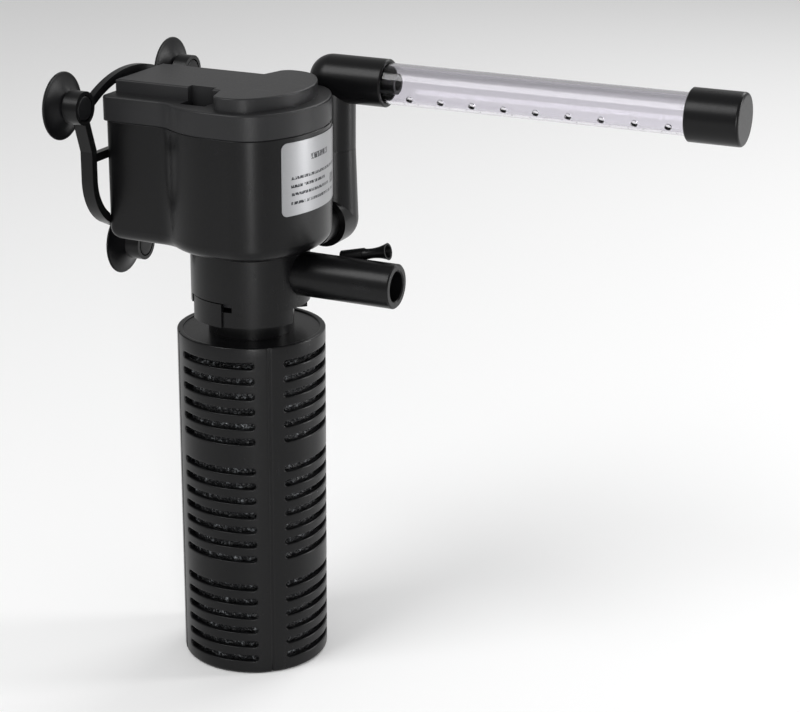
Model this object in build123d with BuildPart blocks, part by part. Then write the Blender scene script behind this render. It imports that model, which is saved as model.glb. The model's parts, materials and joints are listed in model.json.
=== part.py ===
"""Internal aquarium power filter: submersible pump head on a slotted strainer, with a clear
spray bar on a swivelling riser and a bracket of three suction cups.

Frame: origin at the centre of the strainer's base, +Z up the strainer's axis, +X along the
outlet nozzle, and the suction cups face -X. All sizes are in millimetres.
"""
import os
from math import atan2, cos, degrees, radians, sin, sqrt

from build123d import *

os.makedirs("parts", exist_ok=True)

# ---------------------------------------------------------------- driving dimensions
run_gap = 0.05          # radial running clearance of a shaft or spigot in its hole
face_gap = 0.3          # clearance between faces of different bodies
seat_gap = 0.1          # clearance between fitted faces of one body
mouth_chamfer = 0.5     # broken edge of a tube's mouth
seam_chamfer = 0.3      # broken edge each side of a seam
cut_over = 1.0          # how far a cutting shape passes the face it cuts, or a rib sinks in

# strainer canister, its sponge and its cap
canister_r = 30.0
canister_h = 141.8
canister_wall = 2.3
canister_floor = 2.4
canister_foot_fillet = 1.6
rib_angle = -48.0       # direction of the near rib between two slot columns
slot_pitch = 6.37       # height of one slot row
slot_h = 2.7
slot_arc = 67.0         # degrees of wall that one slot opens
slot_columns = 4
slot_top_drop = 7.4     # canister's rim to the middle of the highest slot row
slot_groups = (6, 7, 6)  # rows in each block, with one blank row between blocks
sponge_core_r = 9.0
sponge_gap = 3.0        # free height over the sponge
cap_disc_t = 2.4
cap_skirt_h = 2.6
cap_skirt_t = 2.0
cap_drop = 0.6          # how far the cap's face sits under the canister's rim
neck_r = 17.3
neck_wall = 2.4
bayonet_inset = 1.4
bayonet_rise = 5.8      # canister's rim to the bayonet flange
bayonet_root = 1.0      # how far a flange sector sinks into the neck
bayonet_arc = 122.0     # degrees of each of the two flange sectors
bayonet_start = -136.0  # where the first sector begins
lug_arc = 45.0
lug_inset = 0.4
lug_d = 2.0             # lug's thickness along the radius
lug_rise = 3.1          # lug's height over the collar's lower edge
twist_travel = 10.0     # degrees from locked to free

# collar with the outlet nozzle
collar_r = 24.0
collar_wall = 2.6
collar_rise = 12.3      # canister's rim to the collar's lower edge
neck_entry = 3.8        # how far the neck reaches into the collar
seal_rise = 1.4
seal_h = 1.4
suction_plate_t = 1.6
suction_plate_rise = 0.5  # clear height from the neck's end to the suction plate
suction_eye_r = 8.0
spoke_w = 1.8
plate_seat_d = 1.2      # width of the ledge that carries the suction plate
plate_seat_h = 0.8
nozzle_rise = 12.9      # collar's lower edge to the nozzle's axis
nozzle_r = 8.9
nozzle_bore_r = 6.0
nozzle_end_x = 64.8
air_boss_r = 2.6
air_bore_r = 1.6
air_tilt = 13.5         # degrees that the air intake rises from the nozzle
air_start_x = 38.0
air_start_y = 6.5
air_start_rise = 6.9
air_boss_l = 10.0
air_plug_l = 4.0
air_horn_l = 10.5
air_neck_r = 2.1
air_horn_r = 3.4
air_horn_t = 0.8
air_throat_r = 0.9
air_port_r = 0.9        # drilling from the air passage into the nozzle's bore

# motor housing and cover
collar_h = 23.4
housing_h = 48.5
shell_t = 2.5
back_x = -50.5
back_half_w = 24.6
back_corner_r = 2.5
spigot_start_gap = 1.0  # the riser spigot begins beside the collar
lobe_r = 33.3
lobe_corner_rise = 16.3  # offset of the corner arcs' centres to each side
lobe_front_flat = 11.7  # how much the front arc's radius passes the lobe's
lobe_front_drop = 1.9   # how far the front is pulled in from a full circle
blend_r = 12.0          # hollow corner between the flat side and the lobe
housing_low_fillet = 5.0
volute_inset = 1.4
volute_h = 9.0
well_r = 13.2
well_wall = 1.5
well_top_drop = 9.0     # housing's rim to the rotor well's closed end
ledge_rise = 10.0
plate_rise = 5.5
cover_t = 2.4
cover_lip_t = 1.8
cover_lip_h = 2.2       # how far the cover's lip reaches into the housing
cover_overhang = 1.6    # how far the cover passes the housing's back
plate_side_inset = 6.8
plate_back_inset = 3.0
plate_waist_x = -2.5
plate_waist_r = 5.0     # height of the rounded shoulder behind the plate's wide front
plate_waist_lean = 2.0
plate_waist_l = 7.5
plate_edge_fillet = 0.8
cover_edge_fillet = 0.9
plate_inset = 3.3
plate_corner_rise = 16.0
plate_front_flat = 10.0
plate_front_inset = 5.6
notch_x0 = -16.5
notch_x1 = -5.5
notch_side_inset = 0.4
notch_y1 = -14.5
notch_depth = 5.0       # cord well's depth under the ledge
inlet_r = 3.4
gland_rim_w = 0.8
gland_rim_h = 1.4
gland_wall = 1.3
label_rise = 17.7
label_h = 28.8
label_side_inset = 11.8
label_t = 0.28
label_lift = 0.02       # glue line between the label and the lobe

# motor
shaft_r = 1.25
bush_h = 2.6
bush_wall = 1.2
bush_flange_w = 0.6
bush_flange_h = 0.8
bush_web_hole_r = 2.6
sleeve_r = 3.2
rotor_edge_fillet = 1.0
hub_disc_t = 1.6
rotor_gap = 0.8
rotor_rise = 1.5
rotor_h = 25.0
impeller_gap = 6.0
impeller_drop = 12.0
impeller_blade_h = 12.0
impeller_hub_r = 4.2
blade_count = 6
blade_t = 1.4
core_rise = 2.5
core_h = 22.0
core_side_gap = 2.1
yoke_gap = 5.2          # housing's back wall to the core's yoke
yoke_d = 10.0
pole_front_x = 9.0
core_leg_w = 7.4
pole_gap = 0.4
bobbin_wall = 1.0
bobbin_flange = 1.2
winding_t = 3.5
winding_inset = 0.3
winding_corner_r = 2.5

# spray bar and riser
passage_r = 3.4         # bore from the pump chamber to the riser spigot
passage_rise = 4.5
riser_x = 15.4
leg_step = 0.5          # least by which the lower elbow is stouter than the tube's socket
leg_rise = 1.0
leg_r = 10.2
leg_gap = 0.6           # lobe's side to the lower elbow's mouth
riser_r = 9.1
joint_rise = 29.5
joint_depth = 10.0
riser_bore_r = 6.0
spigot_r = 7.6
spigot_bore_r = 5.2
joint_r = 7.4
bar_rise = 28.8
socket_wall = 1.4
mouth_reach = 24.9
socket_depth = 13.3
tube_r = 8.3
tube_wall = 1.2
end_cap_face_t = 3.6
stub_r = 4.2
stub_bore_r = 2.8
stub_reach = 4.2
hole_r = 1.3
hole_count = 9
hole_first_reach = 12.2
hole_pitch = 13.4
hole_angle = -58.0      # degrees under the tube's near side
end_cap_wall = 2.1
end_cap_l = 21.4
bar_l = 172.2           # riser's axis to the end cap's face
cap_edge_fillet = 1.2

# bracket and suction cups
arm_overlap = 1.2       # how far the arms reach beside the housing
arm_d = 5.3
strip_w = 3.4
arch_gap = 0.7
arch_d = 2.8
arch_rise = 1.7
cup_half_spread = 40.7
cup_top_drop = 7.3
cup_low_drop = 7.5
boss_r = 6.6
boss_lead = 0.7
cup_d = 4.7
cup_r = 13.3
cup_stem_r = 3.0
boss_d = 6.3
cup_head_r = 4.8
cup_head_t = 2.0
cup_head_chamfer = 0.6
cup_lip_t = 0.7
cup_lip_w = 1.2
cup_shoulder_w = 2.0
cup_hollow = 3.2        # depth of the hollow behind the rim
cup_pole_r = 1.0
cup_bulge = 0.74        # share of the rim's radius at mid depth of the outer curve
arm_half_w = 36.3
arm_top_drop = 10.0
arm_straight_h = 12.0
arm_bend_r = 20.0
arm_turn = 68.0         # degrees that an arm bends inwards on its way down
arch_foot_inset = 1.5
arch_r = 57.5
crossbar_drop = 14.4
crossbar_h = 3.4
rail_neck_half = 3.0
rail_head_half = 5.2
rail_rise = 6.5
rail_top_drop = 11.4
rail_stop_t = 2.0
rail_neck_d = 1.8
rail_head_d = 1.8
pad_half_w = 8.5
pad_h = 20.0
pad_d = 6.0

# ---------------------------------------------------------------- places worked out from them
# heights, from the strainer's base upwards
slot_top_z = canister_h - slot_top_drop
bayonet_low_z = canister_h + bayonet_rise
collar_low_z = canister_h + collar_rise
seal_low_z = collar_low_z + seal_rise
nozzle_z = collar_low_z + nozzle_rise
air_start_z = nozzle_z + air_start_rise
housing_low_z = collar_low_z + collar_h
seam_z = housing_low_z + housing_h
volute_top_z = housing_low_z + volute_h
well_top_z = seam_z - well_top_drop
ledge_z = seam_z + ledge_rise
top_z = ledge_z + plate_rise
notch_floor_z = ledge_z - notch_depth
label_low_z = housing_low_z + label_rise
rotor_low_z = volute_top_z + rotor_rise
impeller_low_z = housing_low_z - impeller_drop
core_low_z = volute_top_z + core_rise
passage_z = housing_low_z + passage_rise
leg_z = housing_low_z + leg_rise
joint_z = leg_z + joint_rise
bar_z = joint_z + bar_rise
arch_top_z = top_z + arch_rise
cup_top_z = top_z - cup_top_drop
cup_low_z = housing_low_z - cup_low_drop
arm_top_z = seam_z - arm_top_drop
arm_low_z = arm_top_z - arm_straight_h
crossbar_z = seam_z - crossbar_drop
rail_low_z = housing_low_z + rail_rise
rail_top_z = seam_z - rail_top_drop

# radii that follow a neighbour
bayonet_r = collar_r - bayonet_inset
lug_r = collar_r - lug_inset
volute_r = collar_r - collar_wall - volute_inset
spigot_start_y = collar_r + spigot_start_gap
socket_r = tube_r + socket_wall
cap_r = tube_r + end_cap_wall
lobe_corner_r = lobe_r - lobe_corner_rise
lobe_front_r = lobe_r + lobe_front_flat
lobe_front_x = lobe_r - lobe_front_drop
plate_lobe_r = lobe_r - plate_inset
plate_corner_r = plate_lobe_r - plate_corner_rise
plate_front_r = plate_lobe_r + plate_front_flat
plate_front_x = lobe_front_x - plate_front_inset
plate_half_w = back_half_w - plate_side_inset
notch_y0 = -back_half_w + notch_side_inset
core_half_w = back_half_w - shell_t - core_side_gap
leg_inner_y = core_half_w - core_leg_w
rotor_r = well_r - rotor_gap
impeller_r = volute_r - impeller_gap
label_half_w = lobe_r - label_side_inset

# places along X and Y that follow a neighbour
yoke_x0 = back_x + shell_t + yoke_gap
yoke_x1 = yoke_x0 + yoke_d
leg_end_y = lobe_r + leg_gap
riser_y = lobe_r + face_gap + max(leg_r, socket_r + leg_step)
mouth_x = riser_x + mouth_reach
socket_stop_x = mouth_x - socket_depth
stub_end_x = mouth_x + stub_reach
hole_first_x = mouth_x + hole_first_reach
cap_end_x = riser_x + bar_l
cap_start_x = cap_end_x - end_cap_l
tube_end_x = cap_end_x - end_cap_face_t
bracket_front_x = back_x + arm_overlap
bracket_rear_x = bracket_front_x - arm_d
boss_front_x = bracket_front_x + boss_lead
arch_front_x = back_x - cover_overhang - arch_gap
arch_rear_x = arch_front_x - arch_d
cup_neck_x = boss_front_x - boss_d
cup_rim_x = cup_neck_x - cup_d


def save(part, label):
    """Label a finished piece and write it to its own STEP file."""
    part.label = label
    export_step(part, f"parts/{label}.step")


def lobed_half(lobe, corner, front_r, front_x):
    """Corner centre's x and the angle where the corner arc meets the front arc."""
    front_c = front_x - front_r
    rise = lobe - corner
    corner_x = front_c + sqrt((front_r - corner) ** 2 - rise**2)
    return front_c, corner_x, degrees(atan2(rise, corner_x - front_c))


def head_plan(back, grow=0.0):
    """Plan of the pump head: flat-sided block at the back, broad lobe at the front."""
    front_c, corner_x, meet = lobed_half(lobe_r, lobe_corner_r, lobe_front_r, lobe_front_x)
    blend_y = back_half_w + blend_r
    blend_x = -sqrt((lobe_r + blend_r) ** 2 - blend_y**2)
    lobe_a = degrees(atan2(blend_y, blend_x))
    rc = back_corner_r
    with BuildSketch() as plan:
        with BuildLine():
            Line((back, 0), (back, back_half_w - rc))
            CenterArc((back + rc, back_half_w - rc), rc, 90, 90)
            Line((back + rc, back_half_w), (blend_x, back_half_w))
            CenterArc((blend_x, blend_y), blend_r, -90, lobe_a - 90)
            CenterArc((0, 0), lobe_r, 90, lobe_a - 90)
            Line((0, lobe_r), (corner_x, lobe_r))
            CenterArc((corner_x, lobe_r - lobe_corner_r), lobe_corner_r, meet, 90 - meet)
            CenterArc((front_c, 0), lobe_front_r, 0, meet)
            mirror(about=Plane.XZ)
        make_face()
        if grow:
            offset(amount=grow, kind=Kind.INTERSECTION)
    return plan.sketch


def plate_plan():
    """Plan of the raised plate on the cover: a bar at the back and a wider front."""
    front_c, corner_x, meet = lobed_half(plate_lobe_r, plate_corner_r, plate_front_r, plate_front_x)
    back = back_x - cover_overhang + plate_back_inset
    shoulder_y = plate_lobe_r - plate_waist_r
    shoulder_x = plate_waist_x + plate_waist_lean
    shoulder_end = plate_waist_x + plate_waist_l
    with BuildSketch() as plan:
        with BuildLine():
            Line((back, 0), (back, plate_half_w))
            Line((back, plate_half_w), (plate_waist_x, plate_half_w))
            Line((plate_waist_x, plate_half_w), (shoulder_x, shoulder_y))
            ThreePointArc(
                (shoulder_x, shoulder_y),
                (shoulder_x + plate_waist_lean, plate_lobe_r - plate_waist_r / 4),
                (shoulder_end, plate_lobe_r),
            )
            Line((shoulder_end, plate_lobe_r), (corner_x, plate_lobe_r))
            CenterArc((corner_x, plate_lobe_r - plate_corner_r), plate_corner_r, meet, 90 - meet)
            CenterArc((front_c, 0), plate_front_r, 0, meet)
            mirror(about=Plane.XZ)
        make_face()
    return plan.sketch


def sector(inner, outer, start, size):
    """Flat ring sector from one angle over a size in degrees."""
    with BuildSketch() as piece:
        with BuildLine():
            a, b = radians(start), radians(start + size)
            CenterArc((0, 0), outer, start, size)
            CenterArc((0, 0), inner, start, size)
            Line((inner * cos(a), inner * sin(a)), (outer * cos(a), outer * sin(a)))
            Line((inner * cos(b), inner * sin(b)), (outer * cos(b), outer * sin(b)))
        make_face()
    return piece.sketch


# ---------------------------------------------------------------- strainer canister
canister_in_r = canister_r - canister_wall
rib_arc = 360 / slot_columns - slot_arc
first_slot = rib_angle + rib_arc / 2
slot_rows = []
row = 0
for rows_in_group in slot_groups:
    slot_rows += [row + i for i in range(rows_in_group)]
    row += rows_in_group + 1
slot_mid_zs = [slot_top_z - slot_pitch * i for i in slot_rows]

with BuildPart() as strainer_canister:
    Cylinder(canister_r, canister_h, align=(Align.CENTER, Align.CENTER, Align.MIN))
    fillet(strainer_canister.edges().group_by(Axis.Z)[0], canister_foot_fillet)
    with BuildSketch(Plane.XY.offset(canister_floor)):
        Circle(canister_in_r)
    extrude(amount=canister_h, mode=Mode.SUBTRACT)
    with BuildSketch(*[Plane.XY.offset(z - slot_h / 2) for z in slot_mid_zs]):
        for column in range(slot_columns):
            start = first_slot + 360 / slot_columns * column
            add(sector(canister_in_r - cut_over, canister_r + cut_over, start, slot_arc))
    extrude(amount=slot_h, mode=Mode.SUBTRACT)
save(strainer_canister.part, "strainer_canister")

# ---------------------------------------------------------------- filter sponge
cap_face_z = canister_h - cap_drop
skirt_low_z = cap_face_z - cap_disc_t - cap_skirt_h
sponge_low_z = canister_floor + seat_gap
sponge_top_z = skirt_low_z - sponge_gap

with BuildPart() as filter_sponge:
    with BuildSketch(Plane.XY.offset(sponge_low_z)):
        Circle(canister_in_r - face_gap)
        Circle(sponge_core_r, mode=Mode.SUBTRACT)
    extrude(amount=sponge_top_z - sponge_low_z)
save(filter_sponge.part, "filter_sponge")

# ---------------------------------------------------------------- strainer cap with bayonet neck
neck_top_z = collar_low_z + neck_entry
lug_top_z = collar_low_z + lug_rise

with BuildPart() as strainer_cap:
    with BuildSketch(Plane.XY.offset(skirt_low_z)):
        Circle(canister_in_r - run_gap)
    extrude(amount=cap_disc_t + cap_skirt_h)
    with BuildSketch(Plane.XY.offset(skirt_low_z)):
        Circle(canister_in_r - cap_skirt_t)
    extrude(amount=cap_skirt_h, mode=Mode.SUBTRACT)
    with BuildSketch(Plane.XY.offset(cap_face_z)):
        Circle(neck_r)
    extrude(amount=neck_top_z - cap_face_z)
    for turn in (0, 180):
        with BuildSketch(Plane.XY.offset(bayonet_low_z)):
            add(sector(neck_r - bayonet_root, bayonet_r, bayonet_start + turn, bayonet_arc))
        extrude(amount=collar_low_z - face_gap - bayonet_low_z)
        with BuildSketch(Plane.XY.offset(bayonet_low_z)):
            add(sector(lug_r - lug_d, lug_r, bayonet_start + turn, lug_arc))
        extrude(amount=lug_top_z - bayonet_low_z)
    with BuildSketch(Plane.XY.offset(skirt_low_z)):
        Circle(neck_r - neck_wall)
    extrude(amount=neck_top_z, mode=Mode.SUBTRACT)
save(strainer_cap.part, "strainer_cap")

# ---------------------------------------------------------------- collar with outlet nozzle
collar_in_r = collar_r - collar_wall
plate_low_z = neck_top_z + suction_plate_rise
lug_play = degrees(2 * face_gap / lug_r)
notch_arc = lug_arc + twist_travel + 2 * lug_play
notch_start = bayonet_start - lug_play

air_plane = Plane(
    origin=(air_start_x, air_start_y, air_start_z),
    x_dir=(0, 1, 0),
    z_dir=(cos(radians(air_tilt)), 0, sin(radians(air_tilt))),
)
port_plane = Plane(
    origin=(air_start_x + air_boss_r, air_start_y, air_start_z),
    x_dir=(1, 0, 0),
    z_dir=(0, -air_start_y, nozzle_z - air_start_z),
)

with BuildPart() as outlet_collar:
    with BuildSketch(Plane.XY.offset(collar_low_z)):
        Circle(collar_r)
    extrude(amount=housing_low_z - collar_low_z)
    with BuildSketch(Plane.YZ):
        with Locations((0, nozzle_z)):
            Circle(nozzle_r)
    extrude(amount=nozzle_end_x)
    with BuildSketch(air_plane):
        Circle(air_boss_r)
    extrude(amount=air_boss_l)
    with BuildSketch(Plane.XY.offset(collar_low_z)):
        Circle(collar_in_r)
    extrude(amount=housing_low_z - collar_low_z, mode=Mode.SUBTRACT)
    with BuildSketch(Plane.XY.offset(plate_low_z - plate_seat_h)):
        Circle(collar_in_r + cut_over / 2)
        Circle(collar_in_r - plate_seat_d, mode=Mode.SUBTRACT)
    extrude(amount=plate_seat_h)
    with BuildSketch(Plane.YZ.offset(collar_in_r - 2 * cut_over)):
        with Locations((0, nozzle_z)):
            Circle(nozzle_bore_r)
    extrude(amount=nozzle_end_x, mode=Mode.SUBTRACT)
    with BuildSketch(air_plane.offset(-air_boss_l / 2)):
        Circle(air_bore_r)
    extrude(amount=2 * air_boss_l, mode=Mode.SUBTRACT)
    with BuildSketch(port_plane):
        Circle(air_port_r)
    extrude(amount=nozzle_r - nozzle_bore_r + air_bore_r + cut_over, mode=Mode.SUBTRACT)
    for mouth_edge in outlet_collar.edges().filter_by(GeomType.CIRCLE).group_by(Axis.X)[-1]:
        chamfer(mouth_edge, mouth_chamfer)
    for turn in (0, 180):
        with BuildSketch(Plane.XY.offset(collar_low_z)):
            add(sector(collar_in_r - cut_over, collar_r + cut_over, notch_start + turn, notch_arc))
        extrude(amount=lug_rise + 2 * face_gap, mode=Mode.SUBTRACT)
save(outlet_collar.part, "outlet_collar")

# ---------------------------------------------------------------- seal between neck and collar
with BuildPart() as neck_seal:
    with BuildSketch(Plane.XY.offset(seal_low_z)):
        Circle(collar_in_r - seat_gap)
        Circle(neck_r + run_gap, mode=Mode.SUBTRACT)
    extrude(amount=seal_h)
save(neck_seal.part, "neck_seal")

# ---------------------------------------------------------------- suction plate under the impeller
bush_seat_r = shaft_r + bush_wall
with BuildPart() as suction_plate:
    with BuildSketch(Plane.XY.offset(plate_low_z)):
        Circle(collar_in_r - seat_gap)
        Circle(suction_eye_r, mode=Mode.SUBTRACT)
        Rectangle(2 * (suction_eye_r + cut_over), spoke_w)
        Rectangle(spoke_w, 2 * (suction_eye_r + cut_over))
        Circle(bush_seat_r + bush_wall)
    extrude(amount=suction_plate_t)
    with BuildSketch(Plane.XY.offset(plate_low_z)):
        Circle(bush_seat_r)
    extrude(amount=suction_plate_t, mode=Mode.SUBTRACT)
save(suction_plate.part, "suction_plate")

# ---------------------------------------------------------------- motor housing
cavity_low_z = volute_top_z + shell_t
plug_z = seam_z - cover_lip_h
spigot_plane = Plane(origin=(riser_x, spigot_start_y, leg_z), x_dir=(1, 0, 0), z_dir=(0, 1, 0))
spigot_end_y = riser_y - riser_bore_r + cut_over
rail_foot_x = back_x + cut_over

with BuildPart() as motor_housing:
    with BuildSketch(Plane.XY.offset(housing_low_z)):
        add(head_plan(back_x))
    extrude(amount=seam_z - housing_low_z)
    chamfer(motor_housing.edges().group_by(Axis.Z)[-1], seam_chamfer)
    fillet(motor_housing.edges().group_by(Axis.Z)[0], housing_low_fillet)
    with BuildSketch(spigot_plane):
        Circle(spigot_r)
    extrude(amount=spigot_end_y - spigot_start_y)
    with BuildSketch(Plane.XY.offset(rail_low_z)):
        with Locations((rail_foot_x - (rail_neck_d + cut_over) / 2, 0)):
            Rectangle(rail_neck_d + cut_over, 2 * rail_neck_half)
        with Locations((back_x - rail_neck_d - rail_head_d / 2, 0)):
            Rectangle(rail_head_d, 2 * rail_head_half)
    extrude(amount=rail_top_z - rail_low_z)
    with BuildSketch(Plane.XY.offset(rail_top_z)):
        with Locations((rail_foot_x - (rail_neck_d + rail_head_d + cut_over) / 2, 0)):
            Rectangle(rail_neck_d + rail_head_d + cut_over, 2 * pad_half_w)
    extrude(amount=rail_stop_t)
    with BuildSketch(Plane.XY.offset(cavity_low_z)):
        add(head_plan(back_x, -shell_t))
    extrude(amount=seam_z - cavity_low_z, mode=Mode.SUBTRACT)
    with BuildSketch(Plane.XY.offset(housing_low_z + shell_t)):
        add(head_plan(back_x, -shell_t))
        with Locations((back_x, 0)):
            Rectangle(2 * (-volute_r - shell_t - back_x), 2 * lobe_r, mode=Mode.INTERSECT)
    extrude(amount=seam_z - housing_low_z - shell_t, mode=Mode.SUBTRACT)
    with BuildSketch(Plane.XY.offset(housing_low_z)):
        Circle(volute_r)
    extrude(amount=volute_top_z - housing_low_z, mode=Mode.SUBTRACT)
    with BuildSketch(Plane.XY.offset(volute_top_z)):
        Circle(well_r + well_wall)
    extrude(amount=well_top_z - volute_top_z)
    with BuildSketch(Plane.XY.offset(volute_top_z)):
        Circle(well_r)
    extrude(amount=well_top_z - well_wall - volute_top_z, mode=Mode.SUBTRACT)
    with BuildSketch(Plane.XZ.offset(-impeller_hub_r)):
        with Locations((riser_x, passage_z)):
            Circle(passage_r)
    extrude(amount=-(spigot_start_y + shell_t - impeller_hub_r), mode=Mode.SUBTRACT)
    with BuildSketch(spigot_plane.offset(shell_t)):
        Circle(spigot_bore_r)
    extrude(amount=spigot_end_y - spigot_start_y, mode=Mode.SUBTRACT)
save(motor_housing.part, "motor_housing")

# ---------------------------------------------------------------- top cover with the cord well
cover_back = back_x - cover_overhang
cord_x = (notch_x0 + notch_x1) / 2
cord_y = (notch_y0 + notch_y1) / 2
well_box_x = notch_x1 - notch_x0 + 2 * cover_t
well_box_y = notch_y1 - notch_y0 + 2 * cover_t
step_z = ledge_z - cover_edge_fillet
with BuildPart() as top_cover:
    with BuildSketch(Plane.XY.offset(seam_z)):
        add(head_plan(cover_back))
    extrude(amount=ledge_z - seam_z)
    chamfer(top_cover.edges().group_by(Axis.Z)[0], seam_chamfer)
    fillet(top_cover.edges().group_by(Axis.Z)[-1], cover_edge_fillet)
    with BuildSketch(Plane.XY.offset(ledge_z - cut_over)):
        add(plate_plan())
    extrude(amount=top_z - ledge_z + cut_over)
    fillet(top_cover.edges().group_by(Axis.Z)[-1], plate_edge_fillet)
    with BuildSketch(Plane.XY.offset(plug_z)):
        add(head_plan(back_x, -shell_t - seat_gap))
    extrude(amount=seam_z - plug_z)
    with BuildSketch(Plane.XY.offset(plug_z)):
        add(head_plan(back_x, -shell_t - cover_lip_t))
    extrude(amount=ledge_z - cover_t - plug_z, mode=Mode.SUBTRACT)
    with BuildSketch(Plane.XY.offset(ledge_z - cover_t)):
        add(plate_plan())
        offset(amount=-cover_t, kind=Kind.INTERSECTION)
    extrude(amount=top_z - ledge_z, mode=Mode.SUBTRACT)
    with BuildSketch(Plane.XY.offset(notch_floor_z - shell_t)):
        with Locations((cord_x, cord_y)):
            Rectangle(well_box_x, well_box_y)
        add(head_plan(back_x, -shell_t - seat_gap), mode=Mode.INTERSECT)
    extrude(amount=step_z - notch_floor_z + shell_t)
    with BuildSketch(Plane.XY.offset(step_z)):
        with Locations((cord_x, cord_y)):
            Rectangle(well_box_x, well_box_y)
        add(plate_plan(), mode=Mode.INTERSECT)
    extrude(amount=top_z - plate_edge_fillet - step_z)
    with BuildSketch(Plane.XY.offset(notch_floor_z)):
        with Locations((cord_x, cord_y)):
            Rectangle(notch_x1 - notch_x0, notch_y1 - notch_y0)
    extrude(amount=top_z, mode=Mode.SUBTRACT)
    with BuildSketch(Plane.XY.offset(seam_z)):
        with Locations((cord_x, cord_y)):
            Circle(inlet_r)
    extrude(amount=top_z, mode=Mode.SUBTRACT)
save(top_cover.part, "top_cover")

# ---------------------------------------------------------------- cord gland
gland_low_z = notch_floor_z - shell_t
with BuildPart() as cord_gland:
    with BuildSketch(Plane.XY.offset(gland_low_z)):
        with Locations((cord_x, cord_y)):
            Circle(inlet_r - run_gap)
    extrude(amount=shell_t + gland_rim_h)
    with BuildSketch(Plane.XY.offset(notch_floor_z)):
        with Locations((cord_x, cord_y)):
            Circle(inlet_r + gland_rim_w)
    extrude(amount=gland_rim_h)
    with BuildSketch(Plane.XY.offset(gland_low_z)):
        with Locations((cord_x, cord_y)):
            Circle(inlet_r - gland_wall)
    extrude(amount=top_z, mode=Mode.SUBTRACT)
save(cord_gland.part, "cord_gland")

# ---------------------------------------------------------------- stator core, bobbin, winding, potting
yoke_mid_x = (yoke_x0 + yoke_x1) / 2
bobbin_half_y = leg_inner_y - seat_gap
core_mid_z = core_low_z + core_h / 2

with BuildPart() as stator_core:
    with BuildSketch(Plane.XY.offset(core_low_z)):
        with Locations(((yoke_x0 + pole_front_x) / 2, 0)):
            Rectangle(pole_front_x - yoke_x0, 2 * core_half_w)
        with Locations(((yoke_x1 + pole_front_x + cut_over) / 2, 0)):
            Rectangle(pole_front_x - yoke_x1 + cut_over, 2 * leg_inner_y, mode=Mode.SUBTRACT)
        Circle(well_r + well_wall + pole_gap, mode=Mode.SUBTRACT)
    extrude(amount=core_h)
save(stator_core.part, "stator_core")

tube_x = yoke_d + 2 * (seat_gap + bobbin_wall)
tube_h = core_h + 2 * (seat_gap + bobbin_wall)
flange_x = tube_x + 2 * winding_t
flange_h = tube_h + 2 * winding_t
with BuildPart() as coil_bobbin:
    with Locations((yoke_mid_x, 0, core_mid_z)):
        Box(tube_x, 2 * bobbin_half_y, tube_h)
        for side in (-1, 1):
            with Locations((0, side * (bobbin_half_y - bobbin_flange / 2), 0)):
                Box(flange_x, bobbin_flange, flange_h)
        Box(yoke_d + 2 * seat_gap, 3 * bobbin_half_y, core_h + 2 * seat_gap, mode=Mode.SUBTRACT)
save(coil_bobbin.part, "coil_bobbin")

winding_l = 2 * (bobbin_half_y - bobbin_flange - seat_gap)
with BuildPart() as coil_winding:
    with Locations((yoke_mid_x, 0, core_mid_z)):
        Box(flange_x - 2 * winding_inset, winding_l, flange_h - 2 * winding_inset)
        fillet(coil_winding.edges().filter_by(Axis.Y), winding_corner_r)
        Box(tube_x + 2 * seat_gap, 2 * winding_l, tube_h + 2 * seat_gap, mode=Mode.SUBTRACT)
save(coil_winding.part, "coil_winding")

potting_low_z = core_mid_z + flange_h / 2 + seat_gap
with BuildPart() as potting_block:
    with BuildSketch(Plane.XY.offset(potting_low_z)):
        add(head_plan(back_x, -shell_t - seat_gap))
        Circle(well_r + well_wall + seat_gap, mode=Mode.SUBTRACT)
    extrude(amount=plug_z - seat_gap - potting_low_z)
save(potting_block.part, "potting_block")

# ---------------------------------------------------------------- shaft, bushes, rotor, impeller
shaft_low_z = plate_low_z
shaft_top_z = well_top_z - well_wall - face_gap
upper_bush_z = shaft_top_z - bush_h

with BuildPart() as impeller_shaft:
    with BuildSketch(Plane.XY.offset(shaft_low_z)):
        Circle(shaft_r)
    extrude(amount=shaft_top_z - shaft_low_z)
save(impeller_shaft.part, "impeller_shaft")

with BuildPart() as lower_shaft_bush:
    with BuildSketch(Plane.XY.offset(plate_low_z)):
        Circle(bush_seat_r - run_gap)
        Circle(shaft_r + run_gap, mode=Mode.SUBTRACT)
    extrude(amount=suction_plate_t)
    with BuildSketch(Plane.XY.offset(plate_low_z + suction_plate_t)):
        Circle(bush_seat_r + bush_flange_w)
        Circle(shaft_r + run_gap, mode=Mode.SUBTRACT)
    extrude(amount=bush_flange_h)
save(lower_shaft_bush.part, "lower_shaft_bush")

with BuildPart() as upper_shaft_bush:
    with BuildSketch(Plane.XY.offset(upper_bush_z)):
        Circle(well_r - seat_gap)
        Circle(shaft_r + run_gap, mode=Mode.SUBTRACT)
        with PolarLocations((well_r + shaft_r) / 2, 4):
            Circle(bush_web_hole_r, mode=Mode.SUBTRACT)
    extrude(amount=well_top_z - well_wall - seat_gap - upper_bush_z)
save(upper_shaft_bush.part, "upper_shaft_bush")

rotor_top_z = min(rotor_low_z + rotor_h, upper_bush_z - 2 * face_gap)
with BuildPart() as rotor_magnet:
    with BuildSketch(Plane.XY.offset(rotor_low_z)):
        Circle(rotor_r)
        Circle(sleeve_r + run_gap, mode=Mode.SUBTRACT)
    extrude(amount=rotor_top_z - rotor_low_z)
    fillet(rotor_magnet.edges().group_by(Axis.Z)[-1].sort_by(SortBy.LENGTH)[-1], rotor_edge_fillet)
save(rotor_magnet.part, "rotor_magnet")

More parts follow.
